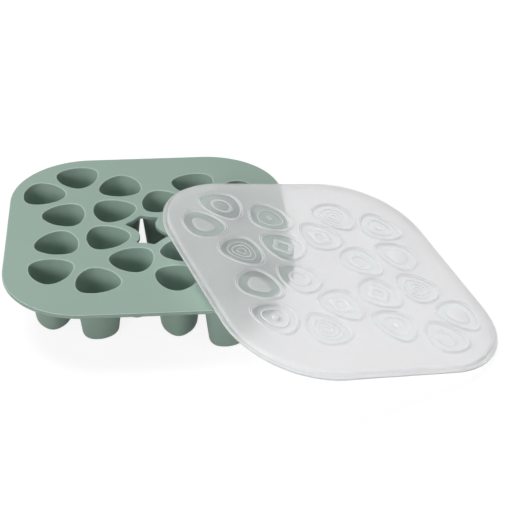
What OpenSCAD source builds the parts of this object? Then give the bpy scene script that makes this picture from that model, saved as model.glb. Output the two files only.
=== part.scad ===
// Freezer tray for portions of baby food: a soft moulded tray of pebble-shaped
// cups, and its thin clear lid, laid half off the tray as it is when the tray is
// being filled. The tray stands on the feet of its cups, at z = 0. Millimetres.

/* [Tray] */
// Width of the tray across its rim, left to right
tray_w = 200; // [195:1:260]
// Length of the tray, front to back
tray_l = 206; // [200:1:260]
// Height of the tray, from its feet to its top face
tray_h = 43.5; // [34:0.5:60]
// Radius of the rounded corners of the tray
corner_r = 57; // [45:1:60]
// Thickness of the deck that joins the cups
deck_t = 3; // [2.4:0.2:5]
// Height of the fine groove that runs round the deck's edge
groove_h = 0.6; // [0.2:0.1:1]
// Rounding of the deck's edge above and below the groove, and the groove's depth
edge_r = 0.5; // [0.2:0.1:0.6]

/* [Cups] */
// Mean radius of a cup's mouth
mouth_r = 15.2; // [11:0.1:16]
// Mean radius of a cup's floor, measured before its edge is rounded
floor_r = 10.4; // [8:0.1:12]
// Thickness of a cup's wall
wall_t = 1.7; // [1:0.1:2.2]
// Thickness of a cup's floor
floor_t = 1.8; // [1:0.1:4]
// Rounding between a cup's wall and its foot, on the outside
foot_fillet = 7; // [3:0.5:8]
// Rounding of a cup's mouth
mouth_round = 0.7; // [0.3:0.1:1.2]
// How far the pebble's three corners stand out, as a share of its radius
pebble_lobe = 0.07; // [0:0.01:0.09]
// How flat the pebble's three sides are, as a share of its radius
pebble_flat = 0.012; // [0:0.002:0.014]

/* [Centre hole] */
// Deck left between the centre hole and the mouths of the cups round it
hole_margin = 6.5; // [4:0.5:9]
// Radius of the hole's six rounded tips
hole_tip_r = 1.2; // [0.5:0.1:2]

/* [Lid] */
// Play between the tray's rim and the lid's skirt
lid_clearance = 0.6; // [0.3:0.1:1.5]
// Thickness of the lid's plate
plate_t = 1.5; // [1:0.1:3]
// Thickness of the skirt that goes down round the tray's rim
skirt_t = 1.6; // [1:0.1:3]
// Depth of the skirt below the plate
skirt_h = 2.7; // [2:0.1:3.6]
// Width of the finger lip that turns out at the foot of the skirt
lip_w = 2.8; // [1:0.1:6]
// Thickness of the finger lip
lip_t = 1.3; // [0.8:0.1:2]

/* [Windows in the lid] */
// Distance from a cup's mouth out to the middle of the double line above it
rim_offset = 0.9; // [0.8:0.1:2]
// Distance between the middles of the two raised lines
line_gap = 1.3; // [1:0.1:2]
// Width of each raised line
line_w = 0.9; // [0.5:0.1:1]
// Height of the raised lines above the plate
line_h = 0.5; // [0.3:0.1:1]
// Distance from the inner line in to the edge of the sunk window
window_inset = 0.4; // [0.2:0.1:1]
// Depth of the window below the plate's top
window_depth = 0.4; // [0.2:0.1:0.8]
// Mean radius of the mark in the middle of a window
mark_r = 8.5; // [6:0.5:10]
// Width of the lines in a mark
mark_line = 1; // [0.6:0.1:1.5]
// Width of the round band in a mark
mark_band = 2.5; // [1:0.5:4]
// How far the four leaves of a mark stand out, as a share of its radius
leaf_lobe = 0.12; // [0:0.01:0.15]

/* [How the lid lies] */
// How far the lid's middle lies to the right of the tray's right edge, along the lid
lid_out = 26; // [20:1:34]
// How far the lid's middle lies behind the point where it bears on that edge
lid_back = -6; // [-12:1:0]
// Turn of the lid in its own plane
lid_turn = 20.5; // [15:0.5:25]
// Gap where the lid bears on the tray
bearing_gap = 0.35; // [0.1:0.05:0.5]

/* [Hidden] */

// The cups of the left half: the place of each one's middle, as shares of the
// tray's half width and half length, and the turn of its pebble. Half a turn
// about the tray's middle gives the cups of the right half.
left_cups = [
    [-0.76, 0.53, 109],
    [-0.515, 0.75, 40],
    [-0.195, 0.60, 86],
    [-0.595, 0.23, 59],
    [-0.245, 0.27, 12],
    [-0.635, -0.135, 76],
    [-0.29, -0.08, 3],
    [-0.67, -0.47, 28],
    [-0.35, -0.61, 105],
    [-0.11, -0.37, 50],
];
right_cups = [for (c = left_cups) [-c[0], -c[1], c[2] + 180]];
cup_places = [for (c = concat(left_cups, right_cups)) [c[0] * tray_w / 2, c[1] * tray_l / 2, c[2]]];

outline_points = 24;
fillet_steps = 2;
corner_steps = 18;
overlap = 0.2;

// A cup's wall leans out by this angle, from its floor to its mouth.
cup_depth = tray_h - floor_t;
wall_lean = atan((mouth_r - floor_r) / cup_depth);
// The outer wall runs along the inner one, a wall's thickness away.
wall_across = wall_t / cos(wall_lean);
outer_floor_r = floor_r + wall_across - floor_t * tan(wall_lean);
inner_fillet = foot_fillet - wall_t;

// The hole's tips lie inside this circle, in the gaps between the six middle cups.
hole_reach = 24;

// The lid's plate covers the skirt, and the lip adds to that all round.
plate_grow = lid_clearance + skirt_t;
lid_grow = plate_grow + lip_w;

// The two lines round a window, and the window's edge inside them.
line_radii = [for (side = [-1, 1]) mouth_r + rim_offset + side * line_gap / 2];
window_r = line_radii[0] - line_w / 2 - window_inset;
mark_kinds = 5;

// A closed outline: a circle whose radius swells and shrinks a number of times.
function lobed(r, lobe, flat, count) = [
    for (i = [0:outline_points - 1])
        let (a = i * 360 / outline_points)
        let (d = r * (1 + lobe * cos(count * a) + flat * cos(2 * count * a)))
        [d * cos(a), d * sin(a)]
];

function pebble(r) = lobed(r, pebble_lobe, pebble_flat, 3);

// The rim's outline as points, grown outwards or, with a negative number, drawn in.
function rim(grow) = [
    for (quarter = [0:3], i = [0:corner_steps])
        let (a = 90 * (quarter + i / corner_steps))
        let (side = quarter == 0 || quarter == 3 ? 1 : -1)
        let (end = quarter < 2 ? 1 : -1)
        [
            side * (tray_w / 2 - corner_r) + (corner_r + grow) * cos(a),
            end * (tray_l / 2 - corner_r) + (corner_r + grow) * sin(a),
        ]
];

// Rings [radius, height] of a bowl: its floor with a rounded edge, which runs
// tangent into the leaning wall, and then the wall up to a given height.
function bowl_rings(r, z, fillet, top) =
    let (z_centre = z + fillet)
    let (tangent_r = r + fillet * (1 - sin(wall_lean)) * tan(wall_lean))
    let (r_centre = tangent_r - fillet * cos(wall_lean))
    concat(
        [
            for (i = [0:fillet_steps])
                let (a = (90 - wall_lean) * i / fillet_steps)
                [r_centre + fillet * sin(a), z_centre - fillet * cos(a)]
        ],
        [[r + (top - z) * tan(wall_lean), top]]
    );

// A vector of the lid's own frame, as the lid leans on the tray.
function lean(v, tilt) =
    let (x = v[0] * cos(tilt) + v[2] * sin(tilt))
    let (z = v[2] * cos(tilt) - v[0] * sin(tilt))
    [x, v[1] * cos(lid_roll) - z * sin(lid_roll), v[1] * sin(lid_roll) + z * cos(lid_roll)];

// How far the leaning lid reaches from its bearing point in direction d.
function lid_reach(d, tilt) =
    let (u = d * lean([cos(lid_turn), sin(lid_turn), 0], tilt))
    let (v = d * lean([-sin(lid_turn), cos(lid_turn), 0], tilt))
    let (n = d * lean([0, 0, 1], tilt))
    let (r = corner_r + lid_grow)
    let (straight = abs(u) * (tray_w / 2 + lid_grow - r) + abs(v) * (tray_l / 2 + lid_grow - r))
    d * lean([lid_out, lid_back, 0], tilt)
        + straight + r * norm([u, v]) + max(-skirt_h * n, (lip_t - skirt_h) * n);

// The lid tilts until its lowest point is on the surface that the tray stands on.
function find_tilt(low, high, steps) =
    let (tilt = (low + high) / 2)
    steps == 0 ? tilt
    : lid_reach([0, 0, -1], tilt) < bearing[2] ? find_tilt(tilt, high, steps - 1)
    : find_tilt(low, tilt, steps - 1);

// The plate bears on the front end of the tray's straight right edge, and the
// skirt on the same edge where the lid's back side crosses it.
bearing = [tray_w / 2, corner_r - tray_l / 2, tray_h + bearing_gap];
crossing = lid_back + (tray_l / 2 + lid_grow - lid_out * sin(lid_turn)) / cos(lid_turn);
lid_roll = asin(skirt_h / crossing);
lid_tilt = find_tilt(0, 60, 40);

// The origin is under the middle of the tray and the lid together.
x_low = min(-tray_w / 2, bearing[0] - lid_reach([-1, 0, 0], lid_tilt));
x_high = max(tray_w / 2, bearing[0] + lid_reach([1, 0, 0], lid_tilt));
y_low = min(-tray_l / 2, bearing[1] - lid_reach([0, -1, 0], lid_tilt));
y_high = max(tray_l / 2, bearing[1] + lid_reach([0, 1, 0], lid_tilt));
middle = [(x_low + x_high) / 2, (y_low + y_high) / 2, 0];

// The rim's outline with true arcs, grown outwards by a given distance.
module rim_outline(grow) {
    x = tray_w / 2 - corner_r;
    y = tray_l / 2 - corner_r;
    r = corner_r + grow;
    square([2 * x, 2 * (y + r)], center = true);
    square([2 * (x + r), 2 * y], center = true);
    for (side = [-1, 1], end = [-1, 1])
        translate([side * x, end * y])
            circle(r);
}

module at_cups() {
    for (c = cup_places)
        translate([c[0], c[1], 0])
            rotate(c[2])
                children();
}

// A solid drawn tight over level outlines [points, height] of as many points each.
module loft(layers) {
    count = len(layers[0][0]);
    points = [for (layer = layers) for (p = layer[0]) [p[0], p[1], layer[1]]];
    faces = [for (i = [0:len(layers) - 1]) [for (k = [0:count - 1]) i * count + k]];
    hull()
        polyhedron(points, faces);
}

module pebble_loft(rings) {
    loft([for (ring = rings) [pebble(ring[0]), ring[1]]]);
}

// The deck is two bands with rounded edges, and the web in the groove between them.
module deck() {
    band_h = (deck_t - groove_h) / 2;
    for (z = [tray_h - deck_t, tray_h - band_h])
        loft([
            [rim(-edge_r), z],
            [rim(0), z + edge_r],
            [rim(0), z + band_h - edge_r],
            [rim(-edge_r), z + band_h],
        ]);
    loft([[rim(-edge_r), tray_h - deck_t + band_h], [rim(-edge_r), tray_h - band_h]]);
}

// The outside of a cup ends on the underside of the deck.
module cup_outside() {
    pebble_loft(bowl_rings(outer_floor_r, 0, foot_fillet, tray_h - deck_t));
}

// The inside flares out at the mouth.
module cup_inside() {
    wall_rings = bowl_rings(floor_r, floor_t, inner_fillet, tray_h - mouth_round);
    pebble_loft(wall_rings);
    pebble_loft([wall_rings[len(wall_rings) - 1], [mouth_r + mouth_round, tray_h]]);
}

// The star that the six middle cups leave between them, with rounded tips.
module centre_hole() {
    translate([0, 0, tray_h - deck_t - overlap])
        linear_extrude(deck_t + 2 * overlap)
            offset(r = hole_tip_r, $fn = 24)
                offset(delta = -hole_tip_r)
                    difference() {
                        circle(hole_reach, $fn = 48);
                        at_cups() polygon(pebble(mouth_r + hole_margin));
                    }
}

module tray() {
    color([0.60, 0.69, 0.64])
        translate(-middle)
            difference() {
                union() {
                    deck();
                    at_cups() cup_outside();
                }
                at_cups() cup_inside();
                centre_hole();
            }
}

module pebble_line(r, w) {
    difference() {
        polygon(pebble(r + w / 2));
        polygon(pebble(r - w / 2));
    }
}

// Five plain marks take turns: a small pebble, a round band, a pebble in outline
// round a dot, three pebble lines inside each other, and a band of four leaves.
module inner_mark(kind) {
    if (kind == 0)
        polygon(pebble(mark_r));
    if (kind == 1)
        difference() {
            circle(mark_r);
            circle(mark_r - mark_band);
        }
    if (kind == 2) {
        pebble_line(mark_r + mark_line, mark_line);
        circle(mark_r / 3);
    }
    if (kind == 3)
        for (share = [0.4, 0.8, 1.2])
            pebble_line(share * mark_r, mark_line);
    if (kind == 4)
        difference() {
            polygon(lobed(mark_r, leaf_lobe, 0, 4));
            polygon(lobed(mark_r / 2, leaf_lobe, 0, 4));
        }
}

// Above each cup the lid has a sunk window, which leaves its mark standing.
module windows() {
    for (i = [0:len(cup_places) - 1])
        translate([cup_places[i][0], cup_places[i][1]])
            rotate(cup_places[i][2])
                difference() {
                    polygon(pebble(window_r));
                    inner_mark(i % mark_kinds);
                }
}

// The lid in its own frame, with the underside of its plate at z = 0.
module lid_body() {
    difference() {
        union() {
            translate([0, 0, -skirt_h])
                linear_extrude(skirt_h + plate_t)
                    rim_outline(plate_grow);
            translate([0, 0, -skirt_h])
                linear_extrude(lip_t)
                    rim_outline(lid_grow);
        }
        translate([0, 0, -skirt_h - overlap])
            linear_extrude(skirt_h + overlap)
                rim_outline(lid_clearance);
        translate([0, 0, plate_t - window_depth])
            linear_extrude(window_depth + overlap)
                windows();
    }
    translate([0, 0, plate_t - overlap])
        linear_extrude(line_h + overlap)
            at_cups() {
                pebble_line(line_radii[0], line_w);
                pebble_line(line_radii[1], line_w);
            }
}

module lid() {
    color([0.90, 0.92, 0.93, 0.6])
        translate(bearing - middle)
            rotate([lid_roll, 0, 0])
                rotate([0, lid_tilt, 0])
                    translate([lid_out, lid_back, 0])
                        rotate(lid_turn)
                            lid_body();
}

tray();
lid();
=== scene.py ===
# %% [markdown]
# # A freezer tray for baby food, and its lid
#
# The real object is two mouldings. The tray is soft silicone: a flat deck with twenty
# pebble-shaped cups hanging from it. The lid is a thin sheet of frosted plastic with a low
# skirt, and here it lies half off the tray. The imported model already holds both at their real
# size and place, so this script only gives them their visible form and finish.

# %% Load the fixed frame
import math

import bmesh
import bpy
import numpy as np
from mathutils import Matrix, Vector


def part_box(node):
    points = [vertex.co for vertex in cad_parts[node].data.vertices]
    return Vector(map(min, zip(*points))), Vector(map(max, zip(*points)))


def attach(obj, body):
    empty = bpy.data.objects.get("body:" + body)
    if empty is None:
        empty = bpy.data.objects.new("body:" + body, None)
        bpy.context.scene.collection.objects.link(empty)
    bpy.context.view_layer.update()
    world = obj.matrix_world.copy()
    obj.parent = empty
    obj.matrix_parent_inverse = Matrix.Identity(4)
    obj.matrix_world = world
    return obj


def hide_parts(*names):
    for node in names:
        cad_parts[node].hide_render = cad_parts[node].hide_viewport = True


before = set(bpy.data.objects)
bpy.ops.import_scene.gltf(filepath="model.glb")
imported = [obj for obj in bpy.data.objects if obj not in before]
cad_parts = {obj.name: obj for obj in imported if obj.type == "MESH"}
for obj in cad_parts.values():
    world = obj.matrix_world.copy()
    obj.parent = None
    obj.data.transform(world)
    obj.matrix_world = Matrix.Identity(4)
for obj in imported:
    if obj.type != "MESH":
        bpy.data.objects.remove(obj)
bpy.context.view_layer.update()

# %% [markdown]
# ## Sizes
#
# A maker would read these off a drawing. Overall sizes come from the frame, so that the
# visible pieces can't drift from the real ones. The rest are the mould's own sizes in
# millimetres, and everything below is worked out from them. The pebble has three lobes, and how
# much they swell and how much they are flattened are shares of its radius.

# %% Sizes of the tray
MM = 0.001
tray_low, tray_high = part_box("tray")
tray_w, tray_l, tray_h = (tray_high - tray_low) / MM
tray_middle = Vector(((tray_low.x + tray_high.x) / 2, (tray_low.y + tray_high.y) / 2, 0))
corner_r = 57.0
deck_t = 3.0
groove_h = 0.6
edge_r = 0.5
mouth_r = 15.2
floor_r = 10.4
wall_t = 1.7
floor_t = 1.8
foot_fillet = 7.0
mouth_round = 0.7
root_round = 0.6
pebble_lobes = 3
pebble_lobe = 0.07
pebble_flat = 0.012
hole_margin = 6.5
hole_tip_r = 1.2
hole_reach = 24.0
wall_lean = math.atan((mouth_r - floor_r) / (tray_h - floor_t))
print(f"tray {tray_w:.1f} x {tray_l:.1f} x {tray_h:.1f} mm, cup walls lean {math.degrees(wall_lean):.1f} deg")

# %% Where the cups are
# Each row is one cup of the left half: its middle as shares of the tray's half width and half
# length, and the turn of its pebble. Half a turn about the middle gives the right half.
LEFT_CUPS = [
    (-0.76, 0.53, 109),
    (-0.515, 0.75, 40),
    (-0.195, 0.60, 86),
    (-0.595, 0.23, 59),
    (-0.245, 0.27, 12),
    (-0.635, -0.135, 76),
    (-0.29, -0.08, 3),
    (-0.67, -0.47, 28),
    (-0.35, -0.61, 105),
    (-0.11, -0.37, 50),
]
RIGHT_CUPS = [(-x, -y, turn + 180) for x, y, turn in LEFT_CUPS]
cups = [(x * tray_w / 2, y * tray_l / 2, math.radians(turn)) for x, y, turn in LEFT_CUPS + RIGHT_CUPS]
print(len(cups), "cups")

# %% [markdown]
# ## Rings, and the skin between them
#
# Every rounded surface here is a stack of closed rings of points with faces between
# neighbours, as a pot is built from coils of clay. Two outlines do most of the work: the
# pebble, a circle with three soft lobes, and the rim, a rectangle with big round corners. A
# profile says how far out and how high each ring lies.

# %% Outlines
CUP_POINTS = 64
RIM_POINTS = 24


def lobed(radius, lobe, flat=0.0, count=pebble_lobes):
    """A closed outline round the origin: a circle whose radius swells and shrinks."""
    a = np.linspace(0, 2 * np.pi, CUP_POINTS, endpoint=False)
    d = radius * (1 + lobe * np.cos(count * a) + flat * np.cos(2 * count * a))
    return np.column_stack((d * np.cos(a), d * np.sin(a)))


def pebble(radius):
    """The outline of a cup at some radius, in millimetres."""
    return lobed(radius, pebble_lobe, pebble_flat)


def rim(grow):
    """The tray's outline, grown outwards by some millimetres."""
    points = []
    for quarter in range(4):
        side = 1 if quarter in (0, 3) else -1
        end = 1 if quarter < 2 else -1
        for a in np.linspace(quarter, quarter + 1, RIM_POINTS + 1) * np.pi / 2:
            points.append((
                side * (tray_w / 2 - corner_r) + (corner_r + grow) * math.cos(a),
                end * (tray_l / 2 - corner_r) + (corner_r + grow) * math.sin(a),
            ))
    return np.array(points)


def arc(out, up, radius, start, end, steps=4):
    """Profile points (out, up) along an arc, from one angle in degrees to another."""
    angles = np.radians(np.linspace(start, end, steps + 1))
    return [(out + radius * math.cos(a), up + radius * math.sin(a)) for a in angles]


print("pebble", len(pebble(mouth_r)), "points, rim", len(rim(0)), "points")

# %% From rings to a mesh


def at_height(outline, height):
    """A ring: the points of an outline, all at one height."""
    return np.column_stack((outline, np.full(len(outline), height)))


def skin(rings, pole=False):
    """Points and faces between rings of as many points each; a pole closes the last one."""
    count = len(rings[0])
    points = [tuple(p) for ring in rings for p in ring]
    faces = []
    for level in range(len(rings) - 1):
        for k in range(count):
            n = (k + 1) % count
            a = level * count
            faces.append((a + k, a + n, a + count + n, a + count + k))
    if pole:
        points.append(tuple(np.mean(rings[-1], axis=0)))
        last = (len(rings) - 1) * count
        faces += [(last + k, last + (k + 1) % count, len(points) - 1) for k in range(count)]
    return points, faces


def mesh_object(name, skins=(), loops=(), points=()):
    """An object in metres from skins, closed wire loops or loose points in millimetres."""
    all_points, edges, faces = list(points), [], []
    for skin_points, skin_faces in skins:
        first = len(all_points)
        all_points += skin_points
        faces += [tuple(first + i for i in face) for face in skin_faces]
    for loop in loops:
        first = len(all_points)
        all_points += [tuple(p) for p in loop]
        edges += [(first + k, first + (k + 1) % len(loop)) for k in range(len(loop))]
    mesh = bpy.data.meshes.new(name)
    mesh.from_pydata([Vector(p) * MM for p in all_points], edges, faces)
    return bpy.data.objects.new(name, mesh)


def paint(piece, name, values, kind="FLOAT"):
    """Gives each point of a piece a number, under a name that trees and materials can read."""
    piece.data.attributes.new(name, kind, "POINT").data.foreach_set("value", values)


one_step = skin([at_height(pebble(mouth_r), up) for up in (0, 1)])
print("one step of a cup takes", len(one_step[1]), "faces")

# %% [markdown]
# ## The cup
#
# A cup is a thin shell with two faces. The mouth rolls over in a small round, the wall leans
# outwards so that a frozen portion slips out, and a big fillet runs into a small flat foot.
# A ring of deck is kept round the mouth and one under it, dead level, so that the smooth
# shading of the round doesn't spill over the flat. It is narrow where two cups come close.

# %% How a cup's wall and foot run
FLAT_RING = 0.4
CLOSE_RING = 0.1
MOUTH_STEPS = 5
FOOT_STEPS = 8
WALL_RINGS = (0.7, 0.4)
lean_deg = math.degrees(wall_lean)


def bowl(radius, floor_z, fillet):
    """The foot of a cup from the wall inwards: a fillet that meets the leaning wall smoothly."""
    tangent_r = radius + fillet * (1 - math.sin(wall_lean)) * math.tan(wall_lean)
    out = tangent_r - fillet * math.cos(wall_lean)
    return arc(out, floor_z + fillet, fillet, -lean_deg, -90, FOOT_STEPS) + [(out / 2, floor_z)]


def wall_r(radius, rise):
    """How far out a leaning wall is, above the place where it has a given radius."""
    return radius + rise * math.tan(wall_lean)


def wall(radius, low, high):
    """The profile points between the top and the foot of a leaning wall."""
    return [(wall_r(radius, share * (high - low)), low + share * (high - low)) for share in WALL_RINGS]


mouth_out = wall_r(mouth_r, -mouth_round) + mouth_round / math.cos(wall_lean)
outer_floor_r = floor_r + wall_t / math.cos(wall_lean) - floor_t * math.tan(wall_lean)
under_z = tray_h - deck_t
root_out = wall_r(outer_floor_r, under_z - root_round) + root_round / math.cos(wall_lean)
print(f"cup floor {floor_r:.2f} mm in radius inside and {outer_floor_r:.2f} mm outside")

# %% One cup, inside and outside
# The rounded lip of the mouth gets a painted highlight: its rings are marked, and the material gives them a
# paler colour for the light that the small round catches.
HIGHLIGHT_RINGS = 3
inside_profile = (
    [(mouth_out + FLAT_RING, tray_h)]
    + arc(mouth_out, tray_h - mouth_round, mouth_round, 90, 180 - lean_deg, MOUTH_STEPS)
    + wall(floor_r, floor_t, tray_h)
    + bowl(floor_r, floor_t, foot_fillet - wall_t)
)
outside_profile = (
    [(root_out + CLOSE_RING, under_z)]
    + arc(root_out, under_z - root_round, root_round, 90, 180 - lean_deg)
    + wall(outer_floor_r, 0, under_z)
    + bowl(outer_floor_r, 0, foot_fillet)
)
cup_skins = [
    skin([at_height(pebble(out), up) for out, up in profile], pole=True)
    for profile in (inside_profile, outside_profile)
]
cup = mesh_object("cup_0", cup_skins)
ring_highlight = [float(1 <= ring <= HIGHLIGHT_RINGS) for ring in range(len(inside_profile))]
cup_highlight = [share for share in ring_highlight for _ in range(CUP_POINTS)]
paint(cup, "lip", cup_highlight + [0.0] * (len(cup.data.vertices) - len(cup_highlight)))
mouth_loop = mesh_object("mouth_loop", loops=[at_height(pebble(inside_profile[0][0]), 0)])
root_loop = mesh_object("root_loop", loops=[at_height(pebble(outside_profile[0][0]), 0)])
print(len(cup.data.polygons), "faces in a cup, mouth ring at", round(inside_profile[0][0], 2), "mm")

# %% [markdown]
# ## The hole in the middle
#
# Six cups leave a star between them, and the deck is cut away there, a constant margin from
# each mouth. From the middle, each direction has one place where the margin begins, so the
# outline can be found by walking outwards along a fan of rays. Blending the distances to the
# cups, instead of taking the smallest, gives the round tips that a moulding tool leaves.

# %% The star
STAR_POINTS = 240
WALK = 0.05


def star(grow):
    """The hole's outline, grown into the deck by some millimetres."""
    angles = np.linspace(0, 2 * np.pi, STAR_POINTS, endpoint=False)
    reach = np.arange(0, hole_reach, WALK)
    x = np.outer(np.cos(angles), reach)
    y = np.outer(np.sin(angles), reach)
    blended = np.zeros_like(x)
    for cup_x, cup_y, turn in cups:
        dx, dy = x - cup_x, y - cup_y
        a = np.arctan2(dy, dx) - turn
        lobes = pebble_lobe * np.cos(pebble_lobes * a) + pebble_flat * np.cos(2 * pebble_lobes * a)
        edge = (mouth_r + hole_margin) * (1 + lobes)
        blended += np.exp(-(np.hypot(dx, dy) - edge) / hole_tip_r)
    distance = -hole_tip_r * np.log(blended)
    inside = distance > -grow
    last = np.argmin(inside, axis=1) - 1
    here = distance[np.arange(STAR_POINTS), last]
    beyond = distance[np.arange(STAR_POINTS), last + 1]
    out = reach[last] + WALK * (here + grow) / (here - beyond)
    return np.column_stack((out * np.cos(angles), out * np.sin(angles)))


star_reach = np.hypot(*star(0).T)
print(f"star between {star_reach.min():.1f} and {star_reach.max():.1f} mm from the middle")

# %% [markdown]
# ## Edges of the deck
#
# The deck's outer edge shows a fine groove half way down, where the two halves of the mould
# met. It is modelled, so that it has its own shadow, and the two edges that face up get a
# painted highlight, the same paler colour as the mouths' lips. The star's edge is a plain wall
# with rounded lips.

# %% Deck edge and star edge
band_h = (deck_t - groove_h) / 2


def round_band(top, bottom, radius=edge_r):
    """Profile (grow, height) of a band with rounded lips, from its top to its bottom."""
    return arc(-radius, top - radius, radius, 90, 0) + arc(-radius, bottom + radius, radius, 0, -90)


edge_profile = (
    [(-edge_r - FLAT_RING, tray_h)]
    + round_band(tray_h, tray_h - band_h)
    + round_band(under_z + band_h, under_z)
    + [(-edge_r - FLAT_RING, under_z)]
)
star_profile = [(edge_r + FLAT_RING, tray_h)] + [(-out, up) for out, up in round_band(tray_h, under_z)]
star_profile += [(edge_r + FLAT_RING, under_z)]
deck_edges = mesh_object("deck_edges", [
    skin([at_height(rim(grow), up) for grow, up in edge_profile]),
    skin([at_height(star(grow), up) for grow, up in star_profile]),
])
deck_outline = mesh_object("deck_outline", loops=[
    at_height(rim(edge_profile[0][0]), 0),
    at_height(star(star_profile[0][0]), 0),
])
# The two upward edges are marked for a painted highlight, a paler colour that stands in for the light they
# catch.
edge_highlight = [
    float(tray_h - edge_r < up < tray_h or abs(up - under_z - band_h) < edge_r / 2)
    for _, up in edge_profile
]
rim_highlight = [share for share in edge_highlight for _ in rim(0)]
paint(deck_edges, "lip", rim_highlight + [0.0] * STAR_POINTS * len(star_profile))
print(len(deck_edges.data.polygons), "faces along the deck's edges")

# %% [markdown]
# ## One tree for both pieces
#
# Tray and lid are made alike: cells stand at twenty places, each turned its own way, and a
# flat sheet fills what the cells leave. That is a rule, so Geometry Nodes do it. The tree puts
# a cell on each point, fills the outline minus the cells' loops for the top and the underside,
# adds the edges and welds everything into one closed skin. An object could be placed twenty
# times by hand instead, but then the sheet would have to be cut to fit each one.

# %% A helper that adds a node, and an empty tree with named inputs


def add(tree, kind, inputs=(), **settings):
    """Adds one node, with its settings; an input is a value, a socket to link, or several."""
    node = tree.nodes.new(kind)
    for name, value in settings.items():
        setattr(node, name, value)
    for socket, value in dict(inputs).items():
        links = value if isinstance(value, list) else [value]
        for link in links:
            if isinstance(link, bpy.types.NodeSocket):
                tree.links.new(link, node.inputs[socket])
            else:
                node.inputs[socket].default_value = link
    return node


TREE_INPUTS = {
    "Places": "NodeSocketGeometry",
    "Cells": "NodeSocketCollection",
    "Edges": "NodeSocketObject",
    "Top outline": "NodeSocketObject",
    "Top cell loop": "NodeSocketObject",
    "Top height": "NodeSocketFloat",
    "Underside outline": "NodeSocketObject",
    "Underside cell loop": "NodeSocketObject",
    "Underside height": "NodeSocketFloat",
    "Weld distance": "NodeSocketFloat",
    "Material": "NodeSocketMaterial",
}
tree = bpy.data.node_groups.new("cells in a sheet", "GeometryNodeTree")
tree_sockets = {
    name: tree.interface.new_socket(name, in_out="INPUT", socket_type=kind).identifier
    for name, kind in TREE_INPUTS.items()
}
tree.interface.new_socket("Piece", in_out="OUTPUT", socket_type="NodeSocketGeometry")
print("the tree takes", ", ".join(TREE_INPUTS))

# %% Fill the tree
given = add(tree, "NodeGroupInput").outputs
turn = add(tree, "GeometryNodeInputNamedAttribute", {"Name": "turn"}, data_type="FLOAT")
turn_z = add(tree, "ShaderNodeCombineXYZ", {"Z": turn.outputs["Attribute"]})
rotation = add(tree, "FunctionNodeEulerToRotation", {"Euler": turn_z.outputs[0]}).outputs[0]


def on_places(instance, **pick):
    """A copy of some geometry on each place, turned as the place says."""
    settings = {"Points": given["Places"], "Instance": instance, "Rotation": rotation, **pick}
    return add(tree, "GeometryNodeInstanceOnPoints", settings).outputs[0]


def sheet(side):
    """A flat sheet inside an outline, with a hole for each cell."""
    outline = add(tree, "GeometryNodeObjectInfo", {"Object": given[f"{side} outline"]})
    loop = add(tree, "GeometryNodeObjectInfo", {"Object": given[f"{side} cell loop"]})
    loops = add(tree, "GeometryNodeRealizeInstances", {"Geometry": on_places(loop.outputs["Geometry"])})
    wires = add(tree, "GeometryNodeJoinGeometry", {
        "Geometry": [outline.outputs["Geometry"], loops.outputs[0]],
    })
    curves = add(tree, "GeometryNodeMeshToCurve", {"Mesh": wires.outputs[0]})
    filled = add(tree, "GeometryNodeFillCurve", {"Curve": curves.outputs[0]}, mode="TRIANGLES")
    lift = add(tree, "ShaderNodeCombineXYZ", {"Z": given[f"{side} height"]})
    moved = add(tree, "GeometryNodeTransform", {
        "Geometry": filled.outputs[0], "Translation": lift.outputs[0],
    })
    return moved.outputs[0]


kind = add(tree, "GeometryNodeInputNamedAttribute", {"Name": "kind"}, data_type="INT")
cells = add(tree, "GeometryNodeCollectionInfo", {
    "Collection": given["Cells"], "Separate Children": True, "Reset Children": True,
})
cell_copies = on_places(cells.outputs[0], **{
    "Pick Instance": True, "Instance Index": kind.outputs["Attribute"],
})
edges = add(tree, "GeometryNodeObjectInfo", {"Object": given["Edges"]}).outputs["Geometry"]
joined = add(tree, "GeometryNodeJoinGeometry", {
    "Geometry": [cell_copies, sheet("Top"), sheet("Underside"), edges],
})
real = add(tree, "GeometryNodeRealizeInstances", {"Geometry": joined.outputs[0]})
welded = add(tree, "GeometryNodeMergeByDistance", {
    "Geometry": real.outputs[0], "Distance": given["Weld distance"],
})
smooth = add(tree, "GeometryNodeSetShadeSmooth", {"Geometry": welded.outputs[0]})
finished = add(tree, "GeometryNodeSetMaterial", {
    "Geometry": smooth.outputs[0], "Material": given["Material"],
})
add(tree, "NodeGroupOutput", {0: finished.outputs[0]})
print("the tree has", len(tree.nodes), "nodes")

# %% Run the tree for one piece
# What comes out is a plain mesh, checked for open edges and with its faces pointing outwards.
WELD = 0.01


def make_piece(name, cell_objects, kinds, pose, **inputs):
    """A plain mesh object from the tree, with its place baked into the mesh by a pose."""
    collection = bpy.data.collections.new(f"{name} cells")
    for cell in cell_objects:
        collection.objects.link(cell)
    places = mesh_object(name, points=[(x, y, 0) for x, y, _ in cups])
    paint(places, "turn", [t for _, _, t in cups])
    paint(places, "kind", kinds, "INT")
    bpy.context.scene.collection.objects.link(places)
    modifier = places.modifiers.new("cells in a sheet", "NODES")
    modifier.node_group = tree
    values = {"Cells": collection, "Weld distance": WELD * MM, **inputs}
    for socket_name, value in values.items():
        modifier[tree_sockets[socket_name]] = value
    evaluated = places.evaluated_get(bpy.context.evaluated_depsgraph_get())
    mesh = bpy.data.meshes.new_from_object(evaluated)
    places.modifiers.remove(modifier)
    mesh.transform(pose)
    places.data = mesh
    shell = bmesh.new()
    shell.from_mesh(mesh)
    bmesh.ops.recalc_face_normals(shell, faces=shell.faces)
    open_edges = sum(not edge.is_manifold for edge in shell.edges)
    volume = shell.calc_volume() / MM ** 3
    shell.to_mesh(mesh)
    shell.free()
    print(f"{name}: {len(mesh.polygons)} faces, {open_edges} open edges, {volume:.0f} mm3")
    return places


print("points closer than", WELD, "mm are welded")
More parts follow.
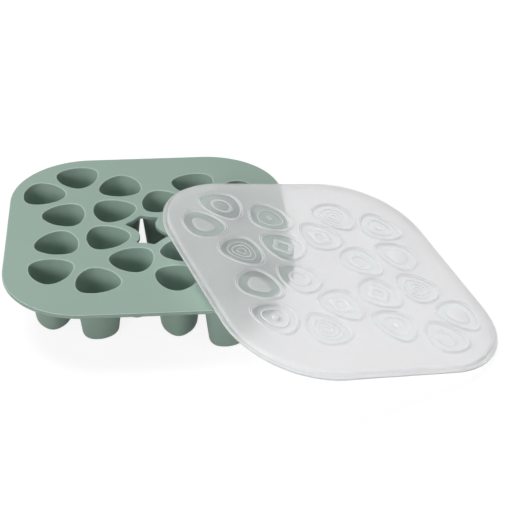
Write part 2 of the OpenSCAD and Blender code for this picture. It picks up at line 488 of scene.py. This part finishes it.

# %% [markdown]
# ## Colour and the silicone of the tray
#
# Silicone rubber is cast in a blasted mould, so its skin is matt with a very fine grain, and a
# little light gets into it and softens the shadows. Its pigment is mixed in, so the colour is
# even, with only the faintest cloudiness. The thin lips get a painted highlight: their small
# rounds catch light from all round and are narrower than a pixel of a usual picture, so a paler
# colour stands in for that light.
# Silicone has an IOR near 1.41.

# %% sRGB hex to the linear colour that Blender mixes


def hex_colour(code):
    """A colour written as on a screen, as the linear numbers that light adds up in."""
    channels = [int(code[i:i + 2], 16) / 255 for i in (1, 3, 5)]
    linear = [c / 12.92 if c <= 0.04045 else ((c + 0.055) / 1.055) ** 2.4 for c in channels]
    return (*linear, 1.0)


def new_material(name):
    """A material, its node tree and its main shader."""
    material = bpy.data.materials.new(name)
    material.use_nodes = True
    return material, material.node_tree, material.node_tree.nodes["Principled BSDF"]


SAGE = "#97AEA2"
print("sage in linear light", [round(c, 3) for c in hex_colour(SAGE)])

# %% Silicone
# What it gives the eye: a soft sage with no mirror-like shine, and a painted highlight, a fine
# pale line along each lip. The grain is some ten times as coarse as the real one, which wouldn't show at all.
LIGHT_SAGE = "#9DB4A8"
# The paler colour below is a painted highlight for the lips' rounds.
LIP_HIGHLIGHT = "#B4C8BC"
SILICONE_GRAIN = 0.35
SILICONE_CLOUD = 60.0
GRAIN_DEPTH = 0.02
silicone, shade, rubber = new_material("cast_silicone_matt_sage")
place = add(shade, "ShaderNodeTexCoord").outputs["Object"]
cloud = add(shade, "ShaderNodeTexNoise", {
    "Vector": place, "Scale": 1 / (SILICONE_CLOUD * MM), "Detail": 2.0,
})
tint = add(shade, "ShaderNodeMix", {
    "Factor": cloud.outputs["Fac"], "A": hex_colour(SAGE), "B": hex_colour(LIGHT_SAGE),
}, data_type="RGBA")
# The lip mask mixes in the paler colour: a painted highlight, not a colour of the silicone.
lip = add(shade, "ShaderNodeAttribute", attribute_name="lip").outputs["Fac"]
highlighted = add(shade, "ShaderNodeMix", {
    "Factor": lip, "A": tint.outputs["Result"], "B": hex_colour(LIP_HIGHLIGHT),
}, data_type="RGBA")
shade.links.new(highlighted.outputs["Result"], rubber.inputs["Base Color"])
grain = add(shade, "ShaderNodeTexNoise", {
    "Vector": place, "Scale": 1 / (SILICONE_GRAIN * MM), "Detail": 3.0,
})
bump = add(shade, "ShaderNodeBump", {
    "Height": grain.outputs["Fac"], "Strength": 0.25, "Distance": GRAIN_DEPTH * MM,
})
shade.links.new(bump.outputs[0], rubber.inputs["Normal"])
# Light goes a millimetre or so into the silicone, and green light goes furthest.
rubber.inputs["Roughness"].default_value = 0.55
rubber.inputs["IOR"].default_value = 1.41
rubber.inputs["Subsurface Weight"].default_value = 0.1
rubber.inputs["Subsurface Radius"].default_value = (0.8, 1.0, 0.9)
rubber.inputs["Subsurface Scale"].default_value = 1.5 * MM
print(silicone.name, "with grain of", SILICONE_GRAIN, "mm")

# %% [markdown]
# ## The tray
#
# Now the tree runs for the tray. All its cells are the same cup, the top sheet has the cups'
# mouths cut out and the underside has their roots, and the star goes through both.

# %% Make the tray
tray = make_piece(
    "silicone_tray", [cup], [0] * len(cups), Matrix.Translation(tray_middle),
    **{
        "Edges": deck_edges,
        "Top outline": deck_outline,
        "Top cell loop": mouth_loop,
        "Top height": tray_h * MM,
        "Underside outline": deck_outline,
        "Underside cell loop": root_loop,
        "Underside height": under_z * MM,
        "Material": silicone,
    },
)
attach(tray, "tray")
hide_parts("tray")

# %% [markdown]
# ## How the lid lies
#
# The lid leans on the tray at an odd angle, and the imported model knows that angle. Its widest
# flat face is the underside of its plate, and the widest at right angles to that are the long
# straight sides of its skirt. Their two directions give the lid's own axes, so the visible lid
# can be built flat, as it was moulded, and then laid exactly where the model has it.

# %% Read the lid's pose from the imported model
# Directions are compared by their cosine: 1 for the same direction and 0 for a right angle.
SAME_WAY = 0.9999
RIGHT_ANGLE = 0.01
MOSTLY_DOWN = -0.5
lid_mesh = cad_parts["lid"].data
corners = np.array([v.co for v in lid_mesh.vertices])
areas = np.array([p.area for p in lid_mesh.polygons])
normals = np.array([p.normal for p in lid_mesh.polygons])


def widest_facing(candidates):
    """The direction that the largest area of flat faces has, among the candidates."""
    rounded = np.round(normals, 3)
    group = np.unique(rounded[candidates], axis=0, return_inverse=True)[1].ravel()
    total = np.bincount(group, weights=areas[candidates])
    best = group == total.argmax()
    mean = np.average(normals[candidates][best], axis=0, weights=areas[candidates][best])
    return mean / np.linalg.norm(mean)


down = widest_facing(normals[:, 2] < MOSTLY_DOWN)
across = widest_facing((abs(normals @ down) < RIGHT_ANGLE) & (normals[:, 0] > 0))
along = np.cross(-down, across)
under_face = [p for p in lid_mesh.polygons if np.dot(p.normal, down) > SAME_WAY]
largest = max(under_face, key=lambda p: p.area)
plate_level = np.dot(corners[largest.vertices[0]], -down)
lid_axes = np.array([across, along, -down])
reach = corners @ lid_axes.T
lid_middle = ((reach.min(0) + reach.max(0)) / 2)[:2]
lid_origin = lid_axes.T @ np.array([*lid_middle, plate_level])
lid_pose = Matrix.Translation(lid_origin) @ Matrix(lid_axes.T.tolist()).to_4x4()
lid_w, lid_l = (reach.max(0) - reach.min(0))[:2] / MM
print(f"lid {lid_w:.2f} x {lid_l:.2f} mm, leaning {math.degrees(math.acos(-down[2])):.2f} deg")

# %% [markdown]
# ## The lid's relief
#
# Above each cup the lid has a pebble-shaped window with a double raised line round it, and a
# plain raised mark in it. The windows were polished in the mould, so they are clearer than the
# frosted sheet, while the crests of the lines are milkier, because the plastic is thicker there.
# A polar grid suits them: its rings follow the relief, so each step in height gets its own rings
# of edges. Five marks take turns, all of them plain shapes.

# %% Sizes of the lid
lid_clearance = 0.6
plate_t = 1.5
skirt_t = 1.6
skirt_h = 2.7
lip_w = 2.8
lip_t = 1.3
rim_offset = 0.9
line_gap = 1.3
line_w = 0.9
line_h = 0.5
window_inset = 0.4
window_depth = 0.4
mark_r = 8.5
mark_line = 1.0
mark_band = 2.5
leaf_lobes = 4
leaf_lobe = 0.12
plate_grow = lid_clearance + skirt_t
lid_grow = plate_grow + lip_w
print("the lid outreaches the tray's rim by", lid_grow, "mm")

# %% The five marks
# A mark is a list of raised bands, each from an outer to an inner radius, and its outline: the
# number of its own lobes and how much they swell.
PEBBLE = (pebble_lobes, pebble_lobe)
ROUND = (pebble_lobes, 0.0)
LEAVES = (leaf_lobes, leaf_lobe)


def thin_band(radius):
    """A band as wide as one line, with its middle at a radius."""
    return (radius + mark_line / 2, radius - mark_line / 2)


MARKS = [
    ([(mark_r, 0)], PEBBLE),
    ([(mark_r, mark_r - mark_band)], ROUND),
    ([thin_band(mark_r + mark_line), (mark_r / 3, 0)], PEBBLE),
    ([thin_band(share * mark_r) for share in (1.2, 0.8, 0.4)], PEBBLE),
    ([(mark_r, mark_r / 2)], LEAVES),
]
print(len(MARKS), "marks with", [len(bands) for bands, _ in MARKS], "bands")

# %% The rings of one cell
# Each ring has a radius, a height and a clearness, which the material reads further on.
SHOULDER = 0.5
SHOULDER_RINGS = (0, 0.3, 0.7, 1)
LINE_STEPS = 6
MILKY, PLAIN, CLEAR = -1.0, 0.0, 1.0


def line_profile(radius, base):
    """A raised line that runs out softly on both sides, from its outer to its inner foot."""
    shares = np.linspace(1, -1, LINE_STEPS + 1)
    return [(radius + s * line_w / 2, base + line_h * (1 + math.cos(math.pi * s)) / 2) for s in shares]


def step_rings(radius, start, end):
    """A rounded step at a radius, inwards from one height to another, with a milky upper edge."""
    clear = (CLEAR, CLEAR, MILKY, PLAIN) if end > start else (PLAIN, MILKY, CLEAR, CLEAR)
    return [
        (radius - share * SHOULDER, start + (end - start) * share, clearness)
        for share, clearness in zip(SHOULDER_RINGS, clear)
    ]


def cell_profile(bands):
    """Radius, height and clearness of each ring of a cell, from its outer edge inwards."""
    outer_line = mouth_r + rim_offset + line_gap / 2
    inner_line = mouth_r + rim_offset - line_gap / 2
    window_r = inner_line - line_w / 2 - window_inset
    floor_z = plate_t - window_depth
    rings = [(outer_line + line_w / 2 + CLOSE_RING, plate_t, PLAIN)]
    for radius in (outer_line, inner_line):
        line = line_profile(radius, plate_t)
        rings += [(out, up, PLAIN + (MILKY - PLAIN) * (up - plate_t) / line_h) for out, up in line]
    rings += step_rings(window_r, plate_t, floor_z)
    for outer, inner in bands:
        rings += step_rings(outer, floor_z, plate_t)
        if inner:
            rings += step_rings(inner, plate_t, floor_z)
    last_out, last_up, last_clear = rings[-1]
    rings.append((last_out / 2, last_up, last_clear))
    return rings


print("a cell has", [len(cell_profile(bands)) for bands, _ in MARKS], "rings, by its mark")

# %% The cells as objects
# A mark's own outline fades into the pebble's between the two blend radii.
BLEND_FROM, BLEND_TO = 11.0, 14.0


def cell_object(number, bands, outline):
    """The object of one kind of cell, with the clearness of each ring painted on it."""
    lobes, lobe = outline
    profile = cell_profile(bands)
    outlines = []
    for out, up, _ in profile:
        share = min(max((out - BLEND_FROM) / (BLEND_TO - BLEND_FROM), 0.0), 1.0)
        own = lobed(out, lobe, count=lobes)
        outlines.append(at_height(share * pebble(out) + (1 - share) * own, up))
    cell = mesh_object(f"cell_{number}", [skin(outlines, pole=True)])
    clear = [c for _, _, c in profile for _ in range(CUP_POINTS)] + [profile[-1][2]]
    paint(cell, "clear", clear)
    return cell


lid_cells = [cell_object(number, *mark) for number, mark in enumerate(MARKS)]
cell_edge = cell_profile(MARKS[0][0])[0][0]
cell_loop = mesh_object("cell_loop", loops=[at_height(pebble(cell_edge), 0)])
no_loop = mesh_object("no_loop")
finest = max(len(cell.data.polygons) for cell in lid_cells)
print(len(lid_cells), "kinds of cell,", finest, "faces in the finest")

# %% [markdown]
# ## Edges of the lid
#
# Seen from the side the lid is a shallow tray upside down: plate, skirt, and a lip that turns
# out at the skirt's foot for a finger to lift. Each edge is rounded a little, because a sharp
# edge catches no light. One profile goes all the way round, from the top of the plate over the
# lip to the underside. The lip is thinner than the plate, so it is painted nearly clear.

# %% Lid edge
plate_round, lip_round, foot_round, inner_round = 0.8, 0.45, 0.3, 0.6
LIP_CLEARNESS = 0.8
lip_top = lip_t - skirt_h
lid_profile = (
    [(plate_grow - plate_round - FLAT_RING, plate_t)]
    + arc(plate_grow - plate_round, plate_t - plate_round, plate_round, 90, 0)
    + arc(plate_grow + inner_round, lip_top + inner_round, inner_round, 180, 270)
    + arc(lid_grow - lip_round, lip_top - lip_round, lip_round, 90, 0)
    + arc(lid_grow - lip_round, -skirt_h + lip_round, lip_round, 0, -90)
    + arc(lid_clearance + foot_round, -skirt_h + foot_round, foot_round, -90, -180)
    + arc(lid_clearance - inner_round, -inner_round, inner_round, 0, 90)
    + [(lid_clearance - inner_round - FLAT_RING, 0)]
)
lid_edges = mesh_object("lid_edges", [skin([at_height(rim(grow), up) for grow, up in lid_profile])])
on_lip = [float(plate_grow < grow < lid_grow - lip_round) for grow, _ in lid_profile]
paint(lid_edges, "clear", [LIP_CLEARNESS * share for share in on_lip for _ in rim(0)])
plate_outline = mesh_object("plate_outline", loops=[at_height(rim(lid_profile[0][0]), 0)])
under_outline = mesh_object("under_outline", loops=[at_height(rim(lid_profile[-1][0]), 0)])
print(len(lid_edges.data.polygons), "faces along the lid's edge")

# %% [markdown]
# ## The frosted plastic of the lid
#
# Polypropylene is naturally milky, and the lid was moulded against a blasted plate. Light that
# meets it is partly thrown back by the milky body, and partly goes through and is spread, so
# what lies close under the lid shows as a soft tint, and nothing shows sharply. Only the
# polished windows and the thin lip let more through. One shader does it all: the clearness
# painted on the cells and the edge drives how much light goes through, how far it is spread,
# and the colour of the body.
#
# Its IOR is set to 1.25, below the 1.49 of clear polypropylene. A clear shell bends light at
# every slope of the relief and draws dark rims there. In the real sheet the haze hides that.

# %% Frosted polypropylene
# What it gives the eye: a milky white that greys over the tray, with clearer windows and milky
# lines. Its grain too is drawn coarser than the real one, so that it shows.
LID_GRAIN = 0.5
LID_CLOUD = 40.0
LEAST_THROUGH, MOST_THROUGH = 0.36, 1.0
MATT, POLISHED = 0.65, 0.25
frosted, shade, plastic = new_material("moulded_polypropylene_frosted")
place = add(shade, "ShaderNodeTexCoord").outputs["Object"]
clear = add(shade, "ShaderNodeAttribute", attribute_name="clear").outputs["Fac"]
through = add(shade, "ShaderNodeMapRange", {
    "Value": clear, "From Min": MILKY, "From Max": CLEAR, "To Min": LEAST_THROUGH, "To Max": MOST_THROUGH,
})
spread = add(shade, "ShaderNodeMapRange", {
    "Value": clear, "From Min": MILKY, "From Max": CLEAR, "To Min": MATT, "To Max": POLISHED,
})
shade.links.new(through.outputs[0], plastic.inputs["Transmission Weight"])
shade.links.new(spread.outputs[0], plastic.inputs["Roughness"])
cloud = add(shade, "ShaderNodeTexNoise", {
    "Vector": place, "Scale": 1 / (LID_CLOUD * MM), "Detail": 2.0,
})
milk = add(shade, "ShaderNodeMix", {
    "Factor": cloud.outputs["Fac"], "A": hex_colour("#F7F7F8"), "B": hex_colour("#FAFAFB"),
}, data_type="RGBA")
body = add(shade, "ShaderNodeMix", {
    "Factor": clear, "A": milk.outputs["Result"], "B": hex_colour("#DFE3E3"),
}, data_type="RGBA")
shade.links.new(body.outputs["Result"], plastic.inputs["Base Color"])
grain = add(shade, "ShaderNodeTexNoise", {
    "Vector": place, "Scale": 1 / (LID_GRAIN * MM), "Detail": 2.0,
})
bump = add(shade, "ShaderNodeBump", {
    "Height": grain.outputs["Fac"], "Strength": 0.15, "Distance": GRAIN_DEPTH * MM,
})
shade.links.new(bump.outputs[0], plastic.inputs["Normal"])
plastic.inputs["IOR"].default_value = 1.25
print(frosted.name, "with grain of", LID_GRAIN, "mm")

# %% [markdown]
# ## The lid
#
# The same tree now runs for the lid. Its cells are the five kinds in turn, its underside is one
# sheet without holes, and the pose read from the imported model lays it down.

# %% Make the lid
lid = make_piece(
    "frosted_lid", lid_cells, [i % len(MARKS) for i in range(len(cups))], lid_pose,
    **{
        "Edges": lid_edges,
        "Top outline": plate_outline,
        "Top cell loop": cell_loop,
        "Top height": plate_t * MM,
        "Underside outline": under_outline,
        "Underside cell loop": no_loop,
        "Underside height": 0.0,
        "Material": frosted,
    },
)
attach(lid, "lid")
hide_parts("lid")

# %% [markdown]
# ## Floor
#
# The object lies on plain white, as in a catalogue. The floor is an ordinary pale surface for
# the light that bounces between it and the tray. For the camera, and for what is seen in gloss
# or through the lid, most of its white shines on its own, so that the shadow on it stays soft.
# Away from the object that share grows to full white, so that the floor runs into the white
# background without a horizon.

# %% White floor
# Sizes are in metres, and a glow of 1 is white.
FLOOR_SIZE = 6.0
NEAR_GLOW, FAR_GLOW = 0.88, 1.0
NEAR, FAR = 0.35, 1.2
DIM = (0.2, 0.2, 0.2, 1.0)
half = FLOOR_SIZE / 2
floor_corners = [(-half, -half, 0), (half, -half, 0), (half, half, 0), (-half, half, 0)]
floor_mesh = bpy.data.meshes.new("floor")
floor_mesh.from_pydata(floor_corners, [], [(0, 1, 2, 3)])
floor = bpy.data.objects.new("floor", floor_mesh)
bpy.context.scene.collection.objects.link(floor)
paper = bpy.data.materials.new("white_paper_sweep")
paper.use_nodes = True
shade = paper.node_tree
shade.nodes.clear()


def seen_directly(shade):
    """1 where the camera looks, straight or in gloss or through something clear, else 0."""
    rays = add(shade, "ShaderNodeLightPath").outputs
    seen = rays["Is Camera Ray"]
    for other in ("Is Glossy Ray", "Is Transmission Ray"):
        seen = add(shade, "ShaderNodeMath", {0: seen, 1: rays[other]}, operation="MAXIMUM").outputs[0]
    return seen


plain = add(shade, "ShaderNodeBsdfDiffuse", {"Color": hex_colour("#BCBCBA")})
dim = add(shade, "ShaderNodeBsdfDiffuse", {"Color": DIM})
spot = add(shade, "ShaderNodeTexCoord").outputs["Object"]
away = add(shade, "ShaderNodeVectorMath", {0: spot}, operation="LENGTH").outputs["Value"]
shine = add(shade, "ShaderNodeMapRange", {
    "Value": away, "From Min": NEAR, "From Max": FAR, "To Min": NEAR_GLOW, "To Max": FAR_GLOW,
})
glow = add(shade, "ShaderNodeEmission", {"Color": (1, 1, 1, 1), "Strength": shine.outputs[0]})
lit = add(shade, "ShaderNodeAddShader", {0: dim.outputs[0], 1: glow.outputs[0]})
chosen = add(shade, "ShaderNodeMixShader", {
    0: seen_directly(shade), 1: plain.outputs[0], 2: lit.outputs[0],
})
add(shade, "ShaderNodeOutputMaterial", {"Surface": chosen.outputs[0]})
floor_mesh.materials.append(paper)
print("floor", FLOOR_SIZE, "m wide")

# %% [markdown]
# ## Light
#
# A dim world lights every side. Where the camera looks at it, straight or in gloss or through
# the lid, it is plain white, as the floor is. A round soft box hangs above, a little to the
# left, so that the cups are shaded on that side inside. A weaker one stands low in front, to
# the left, and opens the shade on the feet. Both are at a plain level, so that a colour comes
# out about as it is written.

# %% Soft light
# Powers are in watts and places in metres.
WORLD_LIGHT = 0.15
KEY_POWER = 9.8
FRONT_POWER = 5.5
world = bpy.data.worlds.new("studio")
bpy.context.scene.world = world
world.use_nodes = True
shade = world.node_tree
shade.nodes.clear()
fill = add(shade, "ShaderNodeBackground", {"Color": (1, 1, 1, 1), "Strength": WORLD_LIGHT})
white = add(shade, "ShaderNodeBackground", {"Color": (1, 1, 1, 1), "Strength": 1.0})
chosen = add(shade, "ShaderNodeMixShader", {
    0: seen_directly(shade), 1: fill.outputs[0], 2: white.outputs[0],
})
add(shade, "ShaderNodeOutputWorld", {"Surface": chosen.outputs[0]})


def soft_box(name, place, size, power):
    """A round lamp of some size, at a place, aimed at the middle of the floor."""
    lamp = bpy.data.lights.new(name, "AREA")
    lamp.shape = "DISK"
    lamp.size = size
    lamp.energy = power
    light = bpy.data.objects.new(name, lamp)
    light.location = place
    light.rotation_euler = (-Vector(place)).to_track_quat("-Z", "Y").to_euler()
    bpy.context.scene.collection.objects.link(light)


soft_box("key", place=(-0.5, 0.15, 1.2), size=0.6, power=KEY_POWER)
soft_box("front", place=(-0.6, -1.1, 0.45), size=0.4, power=FRONT_POWER)
print("world", WORLD_LIGHT, "key", KEY_POWER, "W, front", FRONT_POWER, "W")

# %% [markdown]
# ## Camera
#
# The photograph was taken from the front and from above, with a long lens. The outlines of the
# tray, the cups and the lid gave the camera's place: how far away it is, how steeply it looks
# down, and which point of the tray's top plane it looks at.

# %% Camera at the photograph's angle
# The lens and its sensor are in millimetres, and the other lengths in metres.
LENS = 106.86
SENSOR = 36.0
CAMERA_DISTANCE = 1.0426
LOOKS_DOWN = math.radians(32.985)
STANDS_RIGHT = math.radians(4.345)
ROLL = math.radians(-0.2925)
AIM_FROM_TRAY = (0.0747, -0.0295)

ahead = Vector((0, math.cos(LOOKS_DOWN), -math.sin(LOOKS_DOWN)))
level_right = Vector((1, 0, 0))
level_down = Vector((0, -math.sin(LOOKS_DOWN), -math.cos(LOOKS_DOWN)))
right = math.cos(ROLL) * level_right + math.sin(ROLL) * level_down
downward = math.cos(ROLL) * level_down - math.sin(ROLL) * level_right
place = Vector((*AIM_FROM_TRAY, 0)) - CAMERA_DISTANCE * ahead
turn_back = Matrix.Rotation(-STANDS_RIGHT, 4, "Z")
axes = Matrix((right, -downward, -ahead)).transposed().to_4x4()
tray_top = tray_middle + Vector((0, 0, tray_h * MM))
camera_data = bpy.data.cameras.new("camera")
camera_data.lens = LENS
camera_data.sensor_width = SENSOR
camera = bpy.data.objects.new("camera", camera_data)
camera.matrix_world = Matrix.Translation(tray_top) @ turn_back @ Matrix.Translation(place) @ axes
bpy.context.scene.collection.objects.link(camera)
bpy.context.scene.camera = camera
bpy.context.scene.view_settings.view_transform = "Standard"
print("camera at", [round(v, 3) for v in camera.matrix_world.translation])
